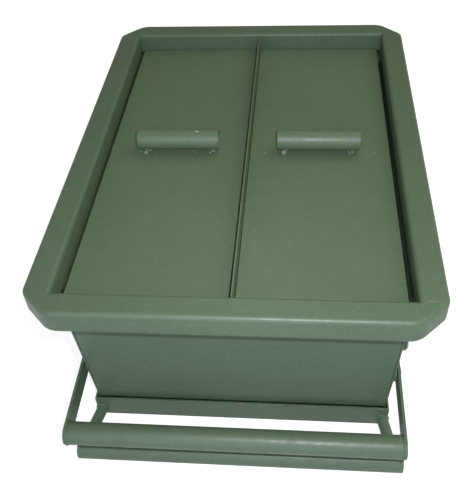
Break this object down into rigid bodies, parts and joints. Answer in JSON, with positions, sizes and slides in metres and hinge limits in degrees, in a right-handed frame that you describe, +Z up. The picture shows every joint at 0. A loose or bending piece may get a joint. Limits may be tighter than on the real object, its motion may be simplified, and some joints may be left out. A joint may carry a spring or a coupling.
{
  "type": "treadle poultry feeder",
  "caption": "Low green steel feeder: a tapered hopper in a tray, flat lift-off lids in a tube rim, and a treadle bar that swings the front door inward.",
  "frame": {"origin": "on the ground, under the middle of the rim", "axes": "+X to the feeder's right, -Y to its front where the treadle is, +Z up"},
  "size_m": [0.43, 0.6497, 0.2353],
  "materials": {
    "green_paint": "satin grey-green enamel over welded mild steel",
    "lid_paint": "satin grey-green enamel on the lift-off lids and their handles",
    "zinc_plate": "zinc plated pins, shaft, bolts, nuts and clips"
  },
  "bodies": {
    "hopper": {"tray_pan": "green_paint", "side_panel_left": "green_paint", "side_panel_right": "green_paint", "back_panel": "green_paint", "front_header": "green_paint", "feed_baffle": "green_paint", "feed_ramp": "green_paint", "centre_divider": "green_paint", "rim_front": "green_paint", "rim_back": "green_paint", "rim_left": "green_paint", "rim_right": "green_paint", "rim_corner_front_left": "green_paint", "rim_corner_front_right": "green_paint", "rim_corner_back_left": "green_paint", "rim_corner_back_right": "green_paint", "ledge_front": "green_paint", "ledge_back": "green_paint", "foot_tube": "green_paint", "foot_plugs": "green_paint", "foot_rod_left": "green_paint", "foot_rod_right": "green_paint", "pivot_stud_left": "green_paint", "pivot_stud_right": "green_paint", "pivot_clips": "zinc_plate", "shaft_bush_left": "green_paint", "shaft_bush_right": "green_paint", "stop_pin_left": "green_paint", "stop_pin_right": "green_paint"},
    "treadle": {"treadle_bar": "green_paint", "treadle_arm_left": "green_paint", "treadle_arm_right": "green_paint", "counterweight_left": "green_paint", "counterweight_right": "green_paint", "counterweight_bolts": "zinc_plate", "counterweight_nuts": "zinc_plate", "link_pins": "zinc_plate"},
    "door": {"door_panel": "green_paint", "door_shaft": "zinc_plate", "door_crank_left": "green_paint", "door_crank_right": "green_paint", "crank_pins": "zinc_plate"},
    "link_left": {"link_left": "green_paint"},
    "link_right": {"link_right": "green_paint"},
    "lid_left": {"lid_left": "lid_paint", "lid_handle_left": "lid_paint", "handle_legs_left": "lid_paint"},
    "lid_right": {"lid_right": "lid_paint", "lid_handle_right": "lid_paint", "handle_legs_right": "lid_paint"}
  },
  "joints": [
    {"name": "treadle_swing", "type": "hinge", "parent": "hopper", "child": "treadle", "pos_m": [0, -0.246, 0.08], "axis": [1, 0, 0], "range_deg": [0, 25]},
    {"name": "door_swing", "type": "hinge", "parent": "hopper", "child": "door", "pos_m": [0, -0.246, 0.166], "axis": [1, 0, 0], "range_deg": [0, 25]},
    {"name": "link_left_turn", "type": "hinge", "parent": "treadle", "child": "link_left", "pos_m": [-0.1935, -0.20402, 0.08135], "axis": [1, 0, 0], "range_deg": [-25, 0]},
    {"name": "link_right_turn", "type": "hinge", "parent": "treadle", "child": "link_right", "pos_m": [0.1935, -0.20402, 0.08135], "axis": [1, 0, 0], "range_deg": [-25, 0]},
    {"name": "lid_left_lift", "type": "slide", "parent": "hopper", "child": "lid_left", "axis": [0, 0, 1], "range_m": [0, 0.12]},
    {"name": "lid_right_lift", "type": "slide", "parent": "hopper", "child": "lid_right", "axis": [0, 0, 1], "range_m": [0, 0.12]}
  ],
  "couplings": [
    {"joint": "door_swing", "follows": "treadle_swing", "ratio": 1},
    {"joint": "link_left_turn", "follows": "treadle_swing", "ratio": -1},
    {"joint": "link_right_turn", "follows": "treadle_swing", "ratio": -1}
  ]
}
